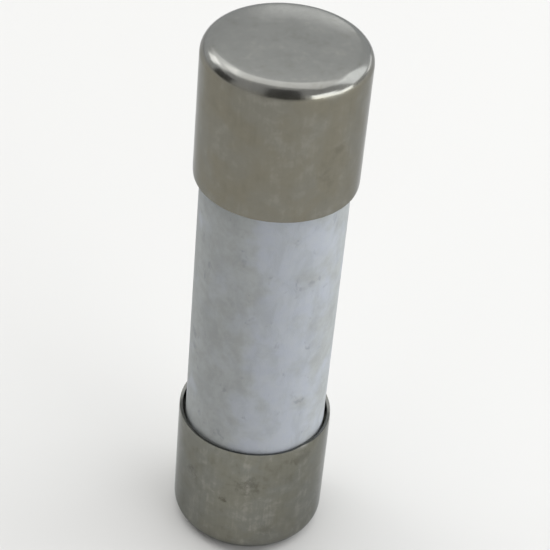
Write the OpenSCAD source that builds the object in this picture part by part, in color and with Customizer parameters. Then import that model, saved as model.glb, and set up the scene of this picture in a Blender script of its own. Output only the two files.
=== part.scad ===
// Cylindrical cartridge fuse, 10 x 38 mm, with a sand-filled ceramic tube and double end caps.
// The fuse stands on its lower end: z runs along its axis, from the lower end face at z = 0.
// Both ends are built alike. The end pieces are drawn at the lower end, and the same pieces
// turned end for end make the upper ones.

/* [Overall size] */
// Length over the two end faces
overall_length = 38; // [34:0.5:60]
// Outside diameter of the contact caps
cap_diameter = 10.3; // [10:0.1:14]

/* [Contact caps] */
// Length of each contact cap
cap_length = 9.5; // [7.5:0.1:12]
// Sheet thickness of the contact caps
cap_sheet = 0.2; // [0.2:0.05:0.3]
// Outside radius of the drawn shoulder
shoulder_radius = 1.05; // [0.6:0.05:1.05]
// Radius of the flat middle of a contact cap's end, which the strip's folded tab pushes out
end_flat_radius = 1.8; // [1:0.1:2]
// Radius at which a contact cap's wall turns in at its rim
rim_roll_radius = 0.6; // [0.4:0.05:0.8]
// Angle through which the wall turns in at the rim
rim_roll_angle = 32; // [10:1:35]
// How much deeper the trimmed edge of the rim lies inside than outside
rim_cut_drop = 0.05; // [0.02:0.01:0.1]

/* [Inner caps] */
// Length of each inner cap
inner_cap_length = 6; // [3:0.1:6.5]
// Sheet thickness of the inner caps, which is also the gap round the tube at a contact cap's rim
inner_cap_sheet = 0.25; // [0.1:0.05:0.25]
// Width of the slot that the strip passes through
inner_cap_slot = 0.9; // [0.7:0.1:1.5]
// Bevel left on an inner cap's rim where the drawn cup was trimmed
rim_bevel = 0.06; // [0.02:0.01:0.08]

/* [Ceramic tube] */
// Wall thickness of the tube
tube_wall = 1.3; // [1:0.1:1.6]
// Clearance of the tube's end bevel from the fillet inside the inner cap
bevel_clearance = 0.05; // [0.02:0.01:0.2]

/* [Sand washers] */
// Thickness of the fibre washer that keeps the sand in
washer_thickness = 0.8; // [0.5:0.1:1.5]
// Side clearance of the strip in the washer's slit
slit_clearance = 0.1; // [0.05:0.05:0.3]

/* [Fuse strip] */
// Width of the strip
strip_width = 3.6; // [3:0.1:4]
// Thickness of the strip
strip_thickness = 0.12; // [0.08:0.02:0.2]
// Rows of necks along the strip
neck_rows = 6; // [2:2:6]
// Distance between the rows of necks
neck_pitch = 5; // [4:0.5:5]
// Radius of the hole in the middle of each row
neck_hole_radius = 0.55; // [0.3:0.05:0.6]
// Radius of the notches in the strip's two edges
neck_notch_radius = 0.65; // [0.3:0.05:0.65]
// Inside radius of the fold at each end
fold_radius = 0.2; // [0.1:0.05:0.25]
// Reach of the folded tab from the axis
tab_reach = 3; // [2:0.1:3]

/* [Tin overlay] */
// Length of the overlay along the strip
overlay_length = 2.2; // [1.6:0.1:2.5]
// Height of the overlay above the strip
overlay_height = 0.5; // [0.2:0.05:0.8]

/* [Solder] */
// Radius of the solder film between the two caps
solder_radius = 3.7; // [3.7:0.1:3.9]

/* [Hidden] */
$fn = 180;

// How far a cutting shape runs past the face that it cuts
past = 1;

// Radii, from the contact caps inwards
cap_radius = cap_diameter / 2;
inner_cap_radius = cap_radius - cap_sheet;
tube_radius = inner_cap_radius - inner_cap_sheet;
bore_radius = tube_radius - tube_wall;

// A contact cap's rim: where the wall starts to turn in, and the outer corner of its trimmed edge
rim_roll_z = cap_length - rim_roll_radius * sin(rim_roll_angle);
rim_edge_radius = cap_radius - rim_roll_radius * (1 - cos(rim_roll_angle));

// The inner cap's shoulder nests in the contact cap's shoulder. The tab lies between the two ends, so the
// contact cap's end is crowned: its flat middle stands out by the tab's thickness, and an arc runs from
// there to the shoulder, touching both.
inner_shoulder_radius = shoulder_radius - cap_sheet;
shoulder_middle_radius = cap_radius - shoulder_radius;
shoulder_middle_z = shoulder_radius + strip_thickness;
crown_slope = 2 * atan(strip_thickness / (shoulder_middle_radius - end_flat_radius));
crown_edge_radius = shoulder_middle_radius + shoulder_radius * sin(crown_slope);
crown_radius = (crown_edge_radius - end_flat_radius) / sin(crown_slope);

// The tube's ends are bevelled past the fillet inside the inner cap
tube_bevel = inner_shoulder_radius - inner_cap_sheet + bevel_clearance;

// Heights of the lower end's faces, from the end face inwards
solder_z = cap_sheet;
inner_cap_z = solder_z + strip_thickness;
tube_z = inner_cap_z + inner_cap_sheet;
sand_z = tube_z + washer_thickness;
middle_z = overall_length / 2;

// Height of the crown's inside at the edge of the solder film
solder_edge_z = crown_radius
    - sqrt(pow(crown_radius - cap_sheet, 2) - pow(solder_radius - end_flat_radius, 2));

// The fold turns about this point of the strip's side view
fold_y = strip_thickness / 2 + fold_radius;
fold_z = inner_cap_z + fold_radius;

// Radius of the arc that rises overlay_height over overlay_length
overlay_radius = (pow(overlay_length / 2, 2) + pow(overlay_height, 2)) / (2 * overlay_height);

// Turns the lower end's pieces end for end, about the fuse's middle
module at_upper_end() {
    translate([0, 0, overall_length]) rotate([180, 0, 0]) children();
}

// Half section of a solid drum whose lower edge is rounded
module rounded_half_section(radius, height, corner) {
    square([radius - corner, height]);
    translate([0, corner]) square([radius, height - corner]);
    translate([radius - corner, corner]) circle(corner);
}

// Half section of a solid drum with a contact cap's crowned end, set in from the cap's outside
module crowned_half_section(height, inset) {
    translate([0, inset]) square([end_flat_radius, height - inset]);
    intersection() {
        translate([end_flat_radius, crown_radius]) circle(crown_radius - inset, $fn = 8 * $fn);
        translate([end_flat_radius, 0])
            square([crown_edge_radius - inset * sin(crown_slope) - end_flat_radius, height]);
    }
    translate([shoulder_middle_radius, shoulder_middle_z]) circle(shoulder_radius - inset);
    translate([0, shoulder_middle_z]) square([cap_radius - inset, height - shoulder_middle_z]);
}

// What a contact cap's rim leaves out: the space outside its turned-in wall and above its slanted edge
module rolled_rim_cut() {
    translate([cap_radius - rim_roll_radius, rim_roll_z]) difference() {
        square(rim_roll_radius + past);
        circle(rim_roll_radius);
    }
    polygon([
        [rim_edge_radius, cap_length],
        [inner_cap_radius, cap_length - rim_cut_drop],
        [inner_cap_radius, cap_length + past],
        [rim_edge_radius, cap_length + past]
    ]);
}

// Contact cap's cup, drawn from sheet: closed at z = 0, open and turned in at its rim
module contact_cup() {
    rotate_extrude() difference() {
        crowned_half_section(cap_length, 0);
        crowned_half_section(cap_length + past, cap_sheet);
        rolled_rim_cut();
    }
}

// What an inner cap's rim leaves out: the space outside its bevel
module bevelled_rim_cut() {
    polygon([
        [inner_cap_radius - rim_bevel, inner_cap_length],
        [inner_cap_radius, inner_cap_length - rim_bevel],
        [inner_cap_radius + past, inner_cap_length + past]
    ]);
}

// Inner cap's cup, drawn from sheet: closed at z = 0 and open at its rim
module inner_cup() {
    rotate_extrude() difference() {
        rounded_half_section(inner_cap_radius, inner_cap_length, inner_shoulder_radius);
        translate([0, inner_cap_sheet])
            rounded_half_section(tube_radius, inner_cap_length, inner_shoulder_radius - inner_cap_sheet);
        bevelled_rim_cut();
    }
}

// Slot with round ends, as long as the strip is wide and as wide as asked, through the sheet at z
module strip_slot(z, width, depth) {
    translate([0, 0, z]) linear_extrude(depth) {
        square([strip_width, width], center = true);
        for (side = [-1, 1])
            translate([side * strip_width / 2, 0]) circle(width / 2);
    }
}

module contact_cap() {
    color("#7a766b")
        contact_cup();
}

module inner_cap() {
    color("#8c8f90")
        translate([0, 0, inner_cap_z]) difference() {
            inner_cup();
            strip_slot(-past, inner_cap_slot, inner_cap_sheet + 2 * past);
        }
}

module sand_washer() {
    color("#c2a878")
        difference() {
            translate([0, 0, tube_z]) cylinder(r = bore_radius, h = washer_thickness);
            strip_slot(tube_z - past, strip_thickness + 2 * slit_clearance, washer_thickness + 2 * past);
        }
}

// Film that joins the tab to both caps, thinner towards its edge, where the crown comes nearer to the inner
// cap. It stops short of the fold, so the fold stays free.
module solder_film() {
    color("#b9bcbe")
        difference() {
            rotate_extrude() polygon([
                [0, solder_z],
                [end_flat_radius, solder_z],
                [solder_radius, solder_edge_z],
                [solder_radius, inner_cap_z],
                [0, inner_cap_z]
            ]);
            translate([-strip_width / 2, -strip_thickness / 2, solder_z - past])
                cube([strip_width, strip_thickness / 2 + tab_reach, strip_thickness + 2 * past]);
        }
}

module ceramic_tube() {
    color("#b2b7bb")
        rotate_extrude() polygon([
            [bore_radius, tube_z],
            [tube_radius - tube_bevel, tube_z],
            [tube_radius, tube_z + tube_bevel],
            [tube_radius, overall_length - tube_z - tube_bevel],
            [tube_radius - tube_bevel, overall_length - tube_z],
            [bore_radius, overall_length - tube_z]
        ]);
}

// Side view of the strip's lower half: folded tab, quarter-round fold and straight run
module strip_half_side() {
    translate([fold_y, solder_z]) square([tab_reach - fold_y, strip_thickness]);
    intersection() {
        translate([fold_y, fold_z]) difference() {
            circle(fold_radius + strip_thickness);
            circle(fold_radius);
        }
        translate([-strip_thickness / 2, solder_z])
            square([fold_y + strip_thickness / 2, fold_z - solder_z]);
    }
    translate([-strip_thickness / 2, fold_z]) square([strip_thickness, middle_z - fold_z]);
}

// Round hole with a half-round notch at each edge, which leaves two necks beside the hole
module neck_row(z) {
    translate([0, 0, z]) rotate([90, 0, 0]) {
        cylinder(r = neck_hole_radius, h = 2 * past, center = true);
        for (side = [-1, 1])
            translate([side * strip_width / 2, 0, 0])
                cylinder(r = neck_notch_radius, h = 2 * past, center = true);
    }
}

// The contact caps' crowned ends press the corners of the tabs thinner
module fuse_strip() {
    color("#c8c4ba")
        difference() {
            rotate([90, 0, 90]) linear_extrude(strip_width, center = true) {
                strip_half_side();
                translate([0, overall_length]) rotate(180) strip_half_side();
            }
            for (row = [0 : neck_rows - 1])
                neck_row(middle_z + (row - (neck_rows - 1) / 2) * neck_pitch);
            contact_cup();
            at_upper_end() contact_cup();
        }
}

// Mound of tin across the strip's middle, on one face
module tin_overlay() {
    color("#a9acad")
        translate([0, strip_thickness / 2, middle_z])
            rotate([0, 90, 0]) linear_extrude(strip_width, center = true)
                intersection() {
                    translate([0, overlay_height - overlay_radius]) circle(overlay_radius);
                    translate([-overlay_length / 2, 0]) square([overlay_length, overlay_height]);
                }
}

// Packed sand fills the bore between the washers, round the strip and its overlay
module quartz_sand() {
    color("#d8cfbe")
        difference() {
            translate([0, 0, sand_z]) cylinder(r = bore_radius, h = overall_length - 2 * sand_z);
            fuse_strip();
            tin_overlay();
        }
}

ceramic_tube();
contact_cap();  // lower_contact_cap
at_upper_end() contact_cap();  // upper_contact_cap
inner_cap();  // lower_inner_cap
at_upper_end() inner_cap();  // upper_inner_cap
sand_washer();  // lower_sand_washer
at_upper_end() sand_washer();  // upper_sand_washer
solder_film();  // lower_solder_film
at_upper_end() solder_film();  // upper_solder_film
fuse_strip();
tin_overlay();
quartz_sand();
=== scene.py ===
"""Looks of the cartridge fuse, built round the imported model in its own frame, in metres."""
import math

import bmesh
import bpy
from mathutils import Matrix, Vector


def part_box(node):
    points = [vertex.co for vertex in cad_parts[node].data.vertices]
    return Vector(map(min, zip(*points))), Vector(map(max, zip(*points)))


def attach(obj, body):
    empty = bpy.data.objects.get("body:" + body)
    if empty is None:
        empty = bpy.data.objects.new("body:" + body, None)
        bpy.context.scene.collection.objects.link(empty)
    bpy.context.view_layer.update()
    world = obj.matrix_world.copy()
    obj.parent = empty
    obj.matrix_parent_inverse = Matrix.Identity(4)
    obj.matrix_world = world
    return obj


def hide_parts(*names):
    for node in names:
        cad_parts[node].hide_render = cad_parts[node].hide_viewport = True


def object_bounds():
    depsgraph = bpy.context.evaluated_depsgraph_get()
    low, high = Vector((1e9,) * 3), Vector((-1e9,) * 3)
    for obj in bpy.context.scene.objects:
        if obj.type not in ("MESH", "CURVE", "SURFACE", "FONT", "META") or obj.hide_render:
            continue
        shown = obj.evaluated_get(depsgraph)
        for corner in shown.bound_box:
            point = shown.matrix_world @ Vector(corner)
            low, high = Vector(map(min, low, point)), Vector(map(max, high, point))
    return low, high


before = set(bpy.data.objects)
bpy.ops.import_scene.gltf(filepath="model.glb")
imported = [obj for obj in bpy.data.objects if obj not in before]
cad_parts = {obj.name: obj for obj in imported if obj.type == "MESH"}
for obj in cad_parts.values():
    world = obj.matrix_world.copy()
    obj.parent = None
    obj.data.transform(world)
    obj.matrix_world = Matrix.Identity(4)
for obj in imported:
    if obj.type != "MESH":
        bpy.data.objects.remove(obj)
cad_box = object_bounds()
scene = bpy.context.scene

MM = 0.001


def colour(red, green, blue):
    return (red, green, blue, 1.0)


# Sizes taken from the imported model
CAP_LOW, CAP_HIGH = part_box("lower_contact_cap")
TUBE_LOW, TUBE_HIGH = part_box("ceramic_tube")
FILM_LOW, FILM_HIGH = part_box("lower_solder_film")
INNER_CAP_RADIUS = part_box("lower_inner_cap")[1].x
BORE_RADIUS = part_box("quartz_sand")[1].x
OVERALL_LENGTH = cad_box[1].z
CAP_RADIUS = CAP_HIGH.x
CAP_LENGTH = CAP_HIGH.z - CAP_LOW.z
CAP_SHEET = CAP_RADIUS - INNER_CAP_RADIUS
CROWN_RISE = FILM_HIGH.z - FILM_LOW.z
TUBE_RADIUS = TUBE_HIGH.x
MIDDLE = Vector((0, 0, OVERALL_LENGTH / 2))

# Sizes of the model that its boxes don't give
SHOULDER_RADIUS = 1.05 * MM
END_FLAT_RADIUS = 1.8 * MM
TUBE_BEVEL = 0.65 * MM

# Rims of the caps as the photograph shows them: the wall leans in on an arc by an angle in degrees, the cut
# edge drops towards the inside, and the lower cap's rim lies lower than the CAD's
RIM_ROLL_RADIUS = 3.0 * MM
RIM_ROLL_ANGLE = 7
RIM_CUT_DROP = 0.05 * MM
LOWER_RIM_SETBACK = 0.3 * MM

# Where the lower cap's rim is pressed in: angle of the middle and half width in degrees, height and depth
RIM_PRESSES = [
    (8, 52, 2.4 * MM, 0.2 * MM),
    (44, 8, 0.6 * MM, 0.08 * MM),
]

# Small stained dings in the caps: angle from the front in degrees, height above the floor, radius and depth
DINGS = {
    "lower_contact_cap": [
        (-2, 6.3 * MM, 0.5 * MM, 0.014 * MM),
        (-17, 4.8 * MM, 0.24 * MM, 0.025 * MM),
        (-48, 5.7 * MM, 0.35 * MM, 0.012 * MM),
        (40, 8.3 * MM, 0.45 * MM, 0.01 * MM),
        (16, 2.3 * MM, 0.3 * MM, 0.008 * MM),
        (150, 3.4 * MM, 0.3 * MM, 0.02 * MM),
    ],
    "upper_contact_cap": [
        (43, 33.3 * MM, 0.32 * MM, 0.008 * MM),
        (34, 31.4 * MM, 0.35 * MM, 0.006 * MM),
        (-140, 31.5 * MM, 0.3 * MM, 0.02 * MM),
    ],
}
STAIN_PER_DEPTH = 0.55 / (0.025 * MM)

# Mesh fineness
SEGMENTS = 256
ARC_STEPS = 28
CROWN_STEPS = 12
RIM_STEPS = 8
END_STEP = 0.2 * MM
WALL_STEP = 0.16 * MM
INNER_WALL_STEP = 4 * WALL_STEP
TUBE_STEP = 0.4 * MM
SHARP_ANGLE = 35

# Plating of each cap's wall: a warm tone, a cool tone and the strength of the tarnish
WALL_TONES = {
    "lower_contact_cap": (colour(0.207, 0.2035, 0.17), colour(0.2055, 0.207, 0.184), 0.55),
    "upper_contact_cap": (colour(0.209, 0.1965, 0.1565), colour(0.209, 0.2025, 0.172), 0.3),
}
END_TONE = colour(0.225, 0.2235, 0.2105)
LIGHT_TARNISH = colour(0.33, 0.32, 0.285)
DARK_TARNISH = colour(0.15, 0.144, 0.115)
STAIN_TONE = colour(0.07, 0.062, 0.045)
GRAZING_TINT = colour(0.685, 0.695, 0.705)

# Ceramic: the body's two tones, a grey that also serves as painted shade on the left side and a lighter blue
# that also serves as painted cool light on the right side, and the tones of its marks
CERAMIC_GREY_AND_SHADE = colour(0.328, 0.34, 0.335)
CERAMIC_BLUE_AND_LIGHT = colour(0.382, 0.404, 0.45)
CERAMIC_PALE = colour(0.418, 0.438, 0.449)
SMEAR_TONE = colour(0.282, 0.296, 0.3)
BLOT_TONE = colour(0.22, 0.23, 0.24)

# Heights of the bumps
PLATE_BUMP = 0.004 * MM
CERAMIC_BUMP = 0.01 * MM
METAL_BUMP = 0.006 * MM
FIBRE_BUMP = 0.02 * MM
SAND_BUMP = 0.05 * MM

# Camera: the photograph's frame, and where its view puts the fuse's middle
IMAGE_SIZE = 550
FOCAL_PIXELS = 1788
SENSOR_WIDTH = 36
MIDDLE_PIXELS = (-7.9, 18.8)
VIEW_ELEVATION = 38.8
VIEW_ROLL = 5.25
VIEW_DISTANCE = 115.5 * MM

# Floor
FLOOR_RADIUS = 3.0
FLOOR_SEGMENTS = 96
FLOOR_TONE = colour(0.69, 0.681, 0.668)

# Surroundings: their tone on the camera's side and behind the fuse, and how much brighter they are overhead
FRONT_TONE = colour(0.66, 0.66, 0.655)
BACK_TONE = colour(0.965, 0.99, 1.0)
OVERHEAD_STRENGTH = 1.35

# Lamps that face the fuse's middle: azimuth from the front, positive to the right, and elevation in degrees,
# then distance, width, height, radiance and tint
WHITE = (1.0, 1.0, 1.0)
DAYLIGHT = (0.97, 1.0, 1.03)
SOFTBOXES = {
    "overhead_softbox": (168, 88, 0.45, 0.8, 0.31, 0.95, WHITE),
    "left_back_softbox": (-121, 47, 0.4, 0.26, 0.2, 0.95, WHITE),
    "left_spot_softbox": (-119, 30, 0.4, 0.12, 0.13, 2.5, WHITE),
    "right_softbox": (110, 31, 0.4, 0.26, 0.29, 1.65, DAYLIGHT),
    "window_panel": (51, 11, 0.25, 0.14, 0.1, 3.55, DAYLIGHT),
    "window_side_panel": (79, 4.5, 0.25, 0.11, 0.06, 3.7, DAYLIGHT),
    "right_low_panel": (134, 3, 0.3, 0.12, 0.035, 2.0, WHITE),
    "back_panel": (177, 23.5, 0.45, 0.09, 0.05, 1.4, WHITE),
}

# Dark cards for the reflections: azimuth in degrees, distance, width, and heights of the lower and upper edge
CARDS = {
    "camera_side_card": (0, 0.17, 0.15, 0.028, 0.3),
    "left_card": (-83, 0.12, 0.064, 0.035, 0.1),
}
CARD_TONE = colour(0.1, 0.097, 0.093)


class Graph:
    """Adds nodes to a material's or a world's tree. Inputs are sockets or plain values."""

    def __init__(self, owner):
        owner.use_nodes = True
        self.tree = owner.node_tree
        self.tree.nodes.clear()

    def feed(self, socket, value):
        if isinstance(value, bpy.types.NodeSocket):
            self.tree.links.new(value, socket)
        else:
            socket.default_value = value

    def add(self, kind, inputs=None, **settings):
        node = self.tree.nodes.new(kind)
        for name, value in settings.items():
            setattr(node, name, value)
        for key, value in (inputs or {}).items():
            self.feed(node.inputs[key], value)
        return node

    def math(self, operation, first, second=0.0):
        return self.add("ShaderNodeMath", {0: first, 1: second}, operation=operation).outputs[0]

    def stretch(self, vector, scale):
        return self.add("ShaderNodeVectorMath", {0: vector, 1: scale}, operation="MULTIPLY").outputs[0]

    def noise(self, vector, scale, detail=2.0, roughness=0.5, distortion=0.0):
        inputs = {
            "Vector": vector,
            "Scale": scale,
            "Detail": detail,
            "Roughness": roughness,
            "Distortion": distortion,
        }
        return self.add("ShaderNodeTexNoise", inputs).outputs["Fac"]

    def spread(self, value, low, high, out_low=0.0, out_high=1.0):
        """Smooth step: out_low where the value is low, out_high where it is high."""
        inputs = {"Value": value, 1: low, 2: high, 3: out_low, 4: out_high}
        return self.add("ShaderNodeMapRange", inputs, interpolation_type="SMOOTHSTEP").outputs[0]

    def mix(self, factor, first, second):
        node = self.add("ShaderNodeMix", data_type="RGBA")
        self.feed(node.inputs[0], factor)
        self.feed(node.inputs[6], first)
        self.feed(node.inputs[7], second)
        return node.outputs[2]

    def stain(self, vector, middle, radius, strength, ragged):
        """Soft mark about a point: strongest in its middle, none past a radius that a noise makes ragged."""
        ends = {0: vector, 1: middle}
        gap = self.add("ShaderNodeVectorMath", ends, operation="DISTANCE").outputs["Value"]
        gap = self.math("ADD", gap, self.spread(ragged, 0.3, 0.7, -radius / 2, radius / 2))
        return self.spread(gap, radius, 0.2 * radius, 0.0, strength)

    def bump(self, height, distance):
        inputs = {"Height": height, "Distance": distance, "Strength": 1.0}
        return self.add("ShaderNodeBump", inputs).outputs[0]

    def millimetres(self):
        place = self.add("ShaderNodeTexCoord").outputs["Object"]
        return self.stretch(place, (1 / MM, 1 / MM, 1 / MM))

    def principled(self, inputs):
        shader = self.add("ShaderNodeBsdfPrincipled", inputs)
        self.add("ShaderNodeOutputMaterial", {"Surface": shader.outputs[0]})

    def diffuse(self, tone):
        shader = self.add("ShaderNodeBsdfDiffuse", {"Color": tone})
        self.add("ShaderNodeOutputMaterial", {"Surface": shader.outputs[0]})


def on_wall(angle, height):
    """Point on a cap's wall, by its angle from the front in degrees and its height."""
    turn = math.radians(angle)
    return Vector((CAP_RADIUS * math.sin(turn), -CAP_RADIUS * math.cos(turn), height))


def nickel_plate(name, warm, cool, tarnish, dings):
    """Dull nickel plating: drawing lines along the axis, cloudy tarnish, fine grain, stains in the dings."""
    material = bpy.data.materials.new(name)
    g = Graph(material)
    place = g.millimetres()
    lines = g.noise(g.stretch(place, (5.0, 5.0, 0.25)), scale=1.0, detail=3.0, roughness=0.6)
    streaks = g.noise(g.stretch(place, (1.3, 1.3, 0.14)), scale=1.0)
    mottle = g.noise(place, scale=1.3, detail=4.0, roughness=0.65, distortion=0.3)
    clouds = g.noise(place, scale=0.42, detail=4.0, roughness=0.55, distortion=0.4)
    grain = g.noise(place, scale=16.0)

    # The lines of drawing are strong on the wall, where the surface is upright, and weak on the end
    facing = g.add("ShaderNodeTexCoord").outputs["Normal"]
    endwise = g.math("ABSOLUTE", g.add("ShaderNodeSeparateXYZ", {0: facing}).outputs["Z"])
    drawn = g.math("ADD", lines, g.math("SUBTRACT", streaks, 1.0))
    drawn = g.math("MULTIPLY", drawn, g.spread(endwise, 0.2, 0.8, 0.45, 0.1))
    blotches = g.math("ADD", g.math("MULTIPLY", mottle, 1.1), g.math("MULTIPLY", clouds, 0.5))
    tone = g.math("ADD", drawn, g.math("SUBTRACT", blotches, 0.3))
    plate = g.mix(g.spread(clouds, 0.35, 0.65), warm, cool)
    plate = g.mix(g.spread(endwise, 0.15, 0.6), plate, END_TONE)
    plate = g.mix(g.spread(tone, 0.5, 0.85, 0.0, tarnish), plate, LIGHT_TARNISH)
    plate = g.mix(g.spread(tone, 0.5, 0.15, 0.0, tarnish), plate, DARK_TARNISH)
    stains = 0.0
    for angle, height, radius, depth in dings:
        middle = on_wall(angle, height) / MM
        mark = g.stain(place, middle, 2 * radius / MM, depth * STAIN_PER_DEPTH, mottle)
        stains = g.math("MAXIMUM", stains, mark)
    plate = g.mix(stains, plate, STAIN_TONE)

    rough = g.spread(clouds, 0.25, 0.75, 0.15, 0.21)
    rough = g.math("ADD", rough, g.spread(lines, 0.3, 0.75, 0.0, 0.04))
    rough = g.math("ADD", rough, g.math("MULTIPLY", stains, 0.3))

    relief = g.math("MULTIPLY", lines, g.spread(endwise, 0.2, 0.8, 0.3, 0.08))
    relief = g.math("ADD", relief, g.math("MULTIPLY", grain, 0.1))
    g.principled({
        "Base Color": plate,
        "Metallic": 1.0,
        "Roughness": rough,
        "Specular Tint": GRAZING_TINT,
        "Normal": g.bump(relief, PLATE_BUMP),
    })
    return material


def fired_ceramic():
    """Unglazed white ceramic: a bluish cast in patches, painted shade that turns the left side a darker grey
    and painted cool light that turns the right side a lighter blue, pale mottle, soft grey smears and faint
    blots.
    """
    material = bpy.data.materials.new("fired_ceramic")
    g = Graph(material)
    place = g.millimetres()
    across = g.add("ShaderNodeSeparateXYZ", {0: place}).outputs["X"]
    patches = g.noise(place, scale=0.45, detail=3.0, roughness=0.55)
    smears = g.noise(g.stretch(place, (1.0, 1.0, 0.5)), scale=0.8, detail=4.0, roughness=0.6, distortion=0.4)
    mottle = g.noise(place, scale=1.2, detail=4.0, roughness=0.65, distortion=0.3)
    blots = g.noise(g.stretch(place, (1.0, 1.0, 0.8)), scale=0.9, detail=3.0, roughness=0.6, distortion=0.4)
    grain = g.noise(place, scale=11.0, detail=3.0, roughness=0.6)

    # Painted side light over random bluish patches: the body is a darker grey on the left, as in shade, and a
    # lighter blue that is strongest a little right of the middle, as under cool light from the right, and
    # weaker again towards the far right
    tint_and_painted_side_light = g.math("ADD", patches, g.spread(across, -3.0, 0.8, -0.14, 0.16))
    tint_and_painted_side_light = g.math("SUBTRACT", tint_and_painted_side_light, g.spread(across, 1.5, 4.2, 0.0, 0.18))
    # Painted shade and light: the grey tone stands for shade on the left, the blue tone for cool light on the
    # right
    body = g.mix(g.spread(tint_and_painted_side_light, 0.38, 0.66), CERAMIC_GREY_AND_SHADE, CERAMIC_BLUE_AND_LIGHT)
    body = g.mix(g.spread(mottle, 0.3, 0.7, 0.0, 0.5), body, CERAMIC_PALE)
    body = g.mix(g.spread(smears, 0.42, 0.7, 0.0, 0.4), body, SMEAR_TONE)
    body = g.mix(g.spread(blots, 0.6, 0.72, 0.0, 0.5), body, BLOT_TONE)

    relief = g.math("ADD", grain, g.math("MULTIPLY", smears, 0.5))
    g.principled({
        "Base Color": body,
        "Roughness": g.spread(grain, 0.3, 0.7, 0.66, 0.8),
        "Specular IOR Level": 0.15,
        "Normal": g.bump(relief, CERAMIC_BUMP),
    })
    return material


def plain_metal(name, dark, light, roughness, line_scale):
    """Metal of the inner pieces: two tones in clouds, with rolling lines of the given fineness."""
    material = bpy.data.materials.new(name)
    g = Graph(material)
    place = g.millimetres()
    clouds = g.noise(place, scale=0.8, detail=3.0, roughness=0.6)
    lines = g.noise(g.stretch(place, (line_scale, line_scale, 0.3)), scale=1.0)
    g.principled({
        "Base Color": g.mix(g.spread(clouds, 0.3, 0.7), dark, light),
        "Metallic": 1.0,
        "Roughness": g.spread(lines, 0.3, 0.7, roughness - 0.06, roughness + 0.08),
        "Normal": g.bump(lines, METAL_BUMP),
    })
    return material


def grainy_solid(name, dark, light, grain_scale, roughness, depth):
    """Matt, grainy material of the sand and the fibre washers."""
    material = bpy.data.materials.new(name)
    g = Graph(material)
    grains = g.add("ShaderNodeTexVoronoi", {"Vector": g.millimetres(), "Scale": grain_scale})
    tone = g.add("ShaderNodeSeparateColor", {0: grains.outputs["Color"]}).outputs[0]
    g.principled({
        "Base Color": g.mix(tone, dark, light),
        "Roughness": g.spread(tone, 0.0, 1.0, roughness, 0.95),
        "Normal": g.bump(grains.outputs["Distance"], depth),
    })
    return material


def arc(centre, radius, start, end, steps):
    """Points of an arc in the half section, from one angle to another, both ends included."""
    points = []
    for step in range(steps + 1):
        angle = math.radians(start + (end - start) * step / steps)
        points.append((centre[0] + radius * math.cos(angle), centre[1] + radius * math.sin(angle)))
    return points


def between(first, last, step):
    """Evenly spaced values strictly between two values."""
    count = max(1, round(abs(last - first) / step))
    return [first + (last - first) * i / count for i in range(1, count)]


def end_outline(inset):
    """Half section of a cap's end from the axis out, set in from its outside: flat, crown and shoulder."""
    shoulder_x = CAP_RADIUS - SHOULDER_RADIUS
    slope = 2 * math.atan(CROWN_RISE / (shoulder_x - END_FLAT_RADIUS))
    crown_reach = shoulder_x + SHOULDER_RADIUS * math.sin(slope) - END_FLAT_RADIUS
    crown_radius = crown_reach / math.sin(slope)
    turn = math.degrees(slope) - 90
    points = [(0.0, inset)]
    points += [(radius, inset) for radius in between(0.0, END_FLAT_RADIUS, END_STEP)]
    points += arc((END_FLAT_RADIUS, crown_radius), crown_radius - inset, -90, turn, CROWN_STEPS)
    shoulder = (shoulder_x, SHOULDER_RADIUS + CROWN_RISE)
    points += arc(shoulder, SHOULDER_RADIUS - inset, turn, 0, ARC_STEPS)[1:]
    return points


def cap_section(length):
    """Half section of a contact cap: out over the end, up the wall, over the rim and back inside."""
    points = end_outline(0.0)
    roll_z = length - RIM_ROLL_RADIUS * math.sin(math.radians(RIM_ROLL_ANGLE))
    points += [(CAP_RADIUS, z) for z in between(points[-1][1], roll_z, WALL_STEP)]
    points += arc((CAP_RADIUS - RIM_ROLL_RADIUS, roll_z), RIM_ROLL_RADIUS, 0, RIM_ROLL_ANGLE, RIM_STEPS)
    inside = end_outline(CAP_SHEET)
    inside_radius, inside_low = inside[-1]
    inside_high = length - RIM_CUT_DROP
    points.append((points[-1][0] - CAP_SHEET, inside_high))
    points += [(inside_radius, z) for z in between(inside_high, inside_low, INNER_WALL_STEP)]
    points += reversed(inside)
    return points


def tube_section():
    """Half section of the ceramic tube as a closed loop, with bevelled ends."""
    low, high = TUBE_LOW.z, TUBE_HIGH.z
    outer = TUBE_RADIUS - TUBE_BEVEL
    points = [(BORE_RADIUS, low), (outer, low), (TUBE_RADIUS, low + TUBE_BEVEL)]
    points += [(TUBE_RADIUS, z) for z in between(low + TUBE_BEVEL, high - TUBE_BEVEL, TUBE_STEP)]
    points += [(TUBE_RADIUS, high - TUBE_BEVEL), (outer, high), (BORE_RADIUS, high)]
    return points


def ring(shape, radius, height):
    """Vertices of one ring of a lathed shape, or the single one where it meets the axis."""
    if radius == 0:
        return [shape.verts.new((0, 0, height))]
    turns = [2 * math.pi * i / SEGMENTS for i in range(SEGMENTS)]
    return [shape.verts.new((radius * math.sin(a), -radius * math.cos(a), height)) for a in turns]


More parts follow.
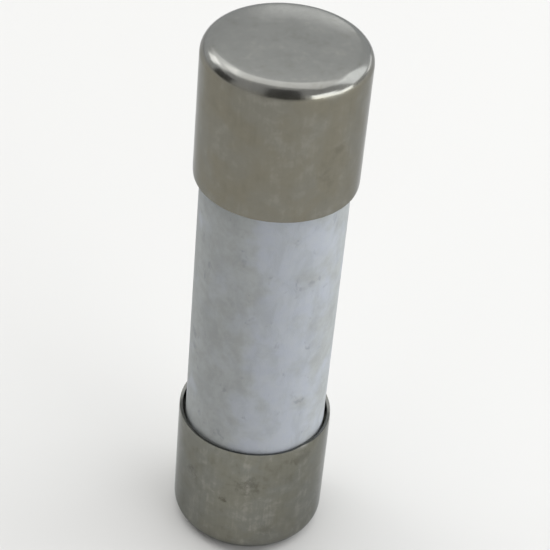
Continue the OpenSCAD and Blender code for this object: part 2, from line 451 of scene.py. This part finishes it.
def lathe(name, section, closed, material):
    """Turns a half section about the z axis. A section that isn't closed starts and ends on the axis."""
    mesh = bpy.data.meshes.new(name)
    shape = bmesh.new()
    rings = [ring(shape, radius, height) for radius, height in section]
    pairs = list(zip(rings, rings[1:]))
    if closed:
        pairs.append((rings[-1], rings[0]))
    for first, second in pairs:
        for i in range(SEGMENTS):
            j = (i + 1) % SEGMENTS
            if len(first) == 1:
                shape.faces.new((first[0], second[i], second[j]))
            elif len(second) == 1:
                shape.faces.new((first[i], first[j], second[0]))
            else:
                shape.faces.new((first[i], first[j], second[j], second[i]))
    bmesh.ops.recalc_face_normals(shape, faces=shape.faces)
    shape.to_mesh(mesh)
    shape.free()
    mesh.polygons.foreach_set("use_smooth", [True] * len(mesh.polygons))
    mesh.set_sharp_from_angle(angle=math.radians(SHARP_ANGLE))
    mesh.materials.append(material)
    piece = bpy.data.objects.new(name, mesh)
    scene.collection.objects.link(piece)
    return piece


def press_ding(piece, angle, height, radius, depth):
    """Pushes a shallow round ding into a cap's outer wall."""
    middle = on_wall(angle, height)
    outward = Vector((middle.x, middle.y, 0)).normalized()
    for vertex in piece.data.vertices:
        distance = (vertex.co - middle).length
        if distance < 2 * radius and vertex.co.xy.length > CAP_RADIUS - CAP_SHEET / 2:
            vertex.co -= outward * depth * math.exp(-((distance / radius) ** 2) * 2)


def press_rim(piece, rim_height, middle, width, height, depth):
    """Presses part of an upright cap's rim in towards the tube, most at the rim and at the middle angle."""
    low = rim_height - height
    for vertex in piece.data.vertices:
        radius = vertex.co.xy.length
        if vertex.co.z < low or radius < TUBE_RADIUS:
            continue
        angle = math.degrees(math.atan2(vertex.co.x, -vertex.co.y))
        share = math.exp(-(((angle - middle) / width) ** 2))
        share *= ((vertex.co.z - low) / height) ** 2
        vertex.co.xy *= (radius - depth * share) / radius


def stand_for(piece, node):
    """Puts a finished piece in place of its CAD node."""
    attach(piece, "root")
    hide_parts(node)


def build_cap(node):
    """Contact cap with its dings. The upper one is turned over, and the lower one's rim is pressed in."""
    is_upper = node.startswith("upper")
    length = CAP_LENGTH if is_upper else CAP_LENGTH - LOWER_RIM_SETBACK
    plate = nickel_plate(node + "_plate", *WALL_TONES[node], DINGS[node])
    cap = lathe(node + "_shell", cap_section(length), False, plate)
    if is_upper:
        to_upper_end = Matrix.Translation((0, 0, OVERALL_LENGTH)) @ Matrix.Rotation(math.pi, 4, "X")
        cap.data.transform(to_upper_end)
    for ding in DINGS[node]:
        press_ding(cap, *ding)
    if not is_upper:
        for press in RIM_PRESSES:
            press_rim(cap, length, *press)
    return cap


def dress_inner_nodes():
    """Gives each CAD node that stays a material, by the ending of its name."""
    steel = plain_metal("plated_steel", colour(0.42, 0.42, 0.40), colour(0.56, 0.56, 0.54), 0.34, 6.0)
    solder = plain_metal("solder", colour(0.40, 0.41, 0.42), colour(0.58, 0.59, 0.60), 0.4, 1.5)
    silver = plain_metal("silvered_copper", colour(0.62, 0.57, 0.50), colour(0.78, 0.76, 0.72), 0.3, 4.0)
    fibre_tones = (colour(0.44, 0.31, 0.15), colour(0.60, 0.45, 0.24))
    sand_tones = (colour(0.55, 0.49, 0.38), colour(0.80, 0.76, 0.66))
    dressed = {
        "inner_cap": steel,
        "sand_washer": grainy_solid("fibre_board", *fibre_tones, 5.0, 0.75, FIBRE_BUMP),
        "solder_film": solder,
        "fuse_strip": silver,
        "tin_overlay": solder,
        "quartz_sand": grainy_solid("quartz_sand", *sand_tones, 4.0, 0.7, SAND_BUMP),
    }
    for node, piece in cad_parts.items():
        for ending, material in dressed.items():
            if node.endswith(ending):
                piece.data.materials.clear()
                piece.data.materials.append(material)


def build_fuse():
    for node in WALL_TONES:
        stand_for(build_cap(node), node)
    tube = lathe("ceramic_tube_body", tube_section(), True, fired_ceramic())
    stand_for(tube, "ceramic_tube")
    dress_inner_nodes()


def add_stage_piece(name, mesh, tone):
    """Adds a matt piece of the studio, which isn't part of the fuse."""
    material = bpy.data.materials.new(name)
    Graph(material).diffuse(tone)
    mesh.materials.append(material)
    piece = bpy.data.objects.new(name, mesh)
    scene.collection.objects.link(piece)
    return piece


def add_floor():
    mesh = bpy.data.meshes.new("floor")
    shape = bmesh.new()
    bmesh.ops.create_circle(shape, cap_ends=True, segments=FLOOR_SEGMENTS, radius=FLOOR_RADIUS)
    shape.to_mesh(mesh)
    shape.free()
    add_stage_piece("floor", mesh, FLOOR_TONE)


def add_softbox(name, azimuth, elevation, distance, width, height, radiance, tint):
    """Area lamp that faces the fuse's middle and isn't seen by the camera."""
    lamp = bpy.data.lights.new(name, "AREA")
    lamp.shape = "RECTANGLE"
    lamp.size, lamp.size_y = width, height
    lamp.energy = radiance * math.pi * width * height
    lamp.color = tint
    box = bpy.data.objects.new(name, lamp)
    a, e = math.radians(azimuth), math.radians(elevation)
    outward = Vector((math.sin(a) * math.cos(e), -math.cos(a) * math.cos(e), math.sin(e)))
    box.location = MIDDLE + outward * distance
    box.rotation_mode = "QUATERNION"
    box.rotation_quaternion = (-outward).to_track_quat("-Z", "Y")
    box.visible_camera = False
    scene.collection.objects.link(box)


def add_card(name, azimuth, distance, width, low, high):
    """Upright dark card that faces the fuse and isn't seen by the camera."""
    mesh = bpy.data.meshes.new(name)
    half = width / 2
    corners = [(-half, 0, low), (half, 0, low), (half, 0, high), (-half, 0, high)]
    mesh.from_pydata(corners, [], [(0, 1, 2, 3)])
    card = add_stage_piece(name, mesh, CARD_TONE)
    a = math.radians(azimuth)
    card.location = (distance * math.sin(a), -distance * math.cos(a), 0)
    card.rotation_euler = (0, 0, a)
    card.visible_camera = False


def add_world():
    """Soft surroundings: dim and neutral on the camera's side, cooler and brighter behind and overhead."""
    world = bpy.data.worlds.new("studio")
    scene.world = world
    g = Graph(world)
    direction = g.add("ShaderNodeTexCoord").outputs["Generated"]
    part = g.add("ShaderNodeSeparateXYZ", {0: direction}).outputs
    light = g.mix(g.spread(part["Y"], -0.4, 0.7), FRONT_TONE, BACK_TONE)
    lift = g.math("ADD", part["Z"], g.math("MULTIPLY", part["Y"], 0.3))
    strength = g.spread(lift, 0.72, 0.95, 1.0, OVERHEAD_STRENGTH)
    background = g.add("ShaderNodeBackground", {"Color": light, "Strength": strength})
    g.add("ShaderNodeOutputWorld", {"Surface": background.outputs[0]})


def add_camera():
    lens = bpy.data.cameras.new("camera")
    lens.sensor_width = SENSOR_WIDTH
    lens.lens = FOCAL_PIXELS * SENSOR_WIDTH / IMAGE_SIZE
    lens.clip_start = VIEW_DISTANCE / 10
    camera = bpy.data.objects.new("camera", lens)
    scene.collection.objects.link(camera)
    pan, dip = (math.atan(pixels / FOCAL_PIXELS) for pixels in MIDDLE_PIXELS)
    turn = Matrix.Rotation(math.radians(90 - VIEW_ELEVATION), 4, "X")
    turn = turn @ Matrix.Rotation(pan, 4, "Y") @ Matrix.Rotation(dip, 4, "X")
    turn = turn @ Matrix.Rotation(math.radians(VIEW_ROLL), 4, "Z")
    e = math.radians(VIEW_ELEVATION)
    away = Vector((0, -math.cos(e), math.sin(e))) * VIEW_DISTANCE
    camera.matrix_world = Matrix.Translation(MIDDLE + away) @ turn
    scene.camera = camera


build_fuse()
add_floor()
add_world()
for box_name, box_values in SOFTBOXES.items():
    add_softbox(box_name, *box_values)
for card_name, card_values in CARDS.items():
    add_card(card_name, *card_values)
add_camera()
scene.view_settings.view_transform = "Standard"
